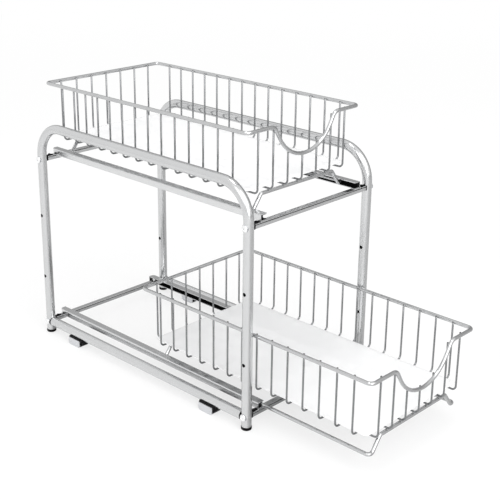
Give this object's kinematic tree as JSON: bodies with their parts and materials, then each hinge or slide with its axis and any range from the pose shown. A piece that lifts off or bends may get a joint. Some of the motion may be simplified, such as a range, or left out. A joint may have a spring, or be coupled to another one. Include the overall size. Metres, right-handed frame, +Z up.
{
  "type": "pull-out cabinet basket",
  "caption": "Standing tube frame with two sliding wire baskets on rails, front dips, frosted liners and floor clips, for use inside a kitchen cabinet.",
  "frame": {"origin": "on the floor, at the centre of the four floor clips", "axes": "+Z up, the baskets pull out towards -Y, +X to the right seen from the front"},
  "size_m": [0.2978, 0.7273, 0.464],
  "materials": {
    "silver_tube": "satin silver powder coat",
    "silver_wire": "satin silver coat on wire",
    "rail_steel": "satin silver coat on sheet",
    "zinc_steel": "satin zinc",
    "chrome_screw": "polished",
    "black_plastic": "matt moulded",
    "black_rubber": "matt",
    "frosted_sheet": "frosted translucent"
  },
  "bodies": {
    "frame": {"left_arch": "silver_tube", "right_arch": "silver_tube", "left_base_tube": "silver_tube", "right_base_tube": "silver_tube", "base_tube_plugs": "black_plastic", "front_left_foot": "black_plastic", "front_right_foot": "black_plastic", "rear_left_foot": "black_plastic", "rear_right_foot": "black_plastic", "lower_front_bar": "silver_tube", "lower_rear_bar": "silver_tube", "upper_front_bar": "silver_tube", "upper_rear_bar": "silver_tube", "bar_end_plugs": "black_plastic", "frame_screws": "chrome_screw", "saddle_washers": "zinc_steel", "lower_left_rail": "rail_steel", "lower_right_rail": "rail_steel", "upper_left_rail": "rail_steel", "upper_right_rail": "rail_steel", "lower_left_guide": "black_plastic", "lower_right_guide": "black_plastic", "upper_left_guide": "black_plastic", "upper_right_guide": "black_plastic", "front_left_clip": "zinc_steel", "front_right_clip": "zinc_steel", "rear_left_clip": "zinc_steel", "rear_right_clip": "zinc_steel", "front_left_block": "black_rubber", "front_right_block": "black_rubber", "rear_left_block": "black_rubber", "rear_right_block": "black_rubber"},
    "lower_basket": {"lower_rim": "silver_wire", "lower_cross_wires": "silver_wire", "lower_long_wires": "silver_wire", "lower_runner_frame": "silver_wire", "lower_liner": "frosted_sheet"},
    "upper_basket": {"upper_rim": "silver_wire", "upper_cross_wires": "silver_wire", "upper_long_wires": "silver_wire", "upper_runner_frame": "silver_wire", "upper_liner": "frosted_sheet"}
  },
  "joints": [
    {"name": "lower_slide", "type": "slide", "parent": "frame", "child": "lower_basket", "axis": [0, 1, 0], "range_m": [0, 0.2375]},
    {"name": "upper_slide", "type": "slide", "parent": "frame", "child": "upper_basket", "axis": [0, -1, 0], "range_m": [0, 0.2375]}
  ]
}
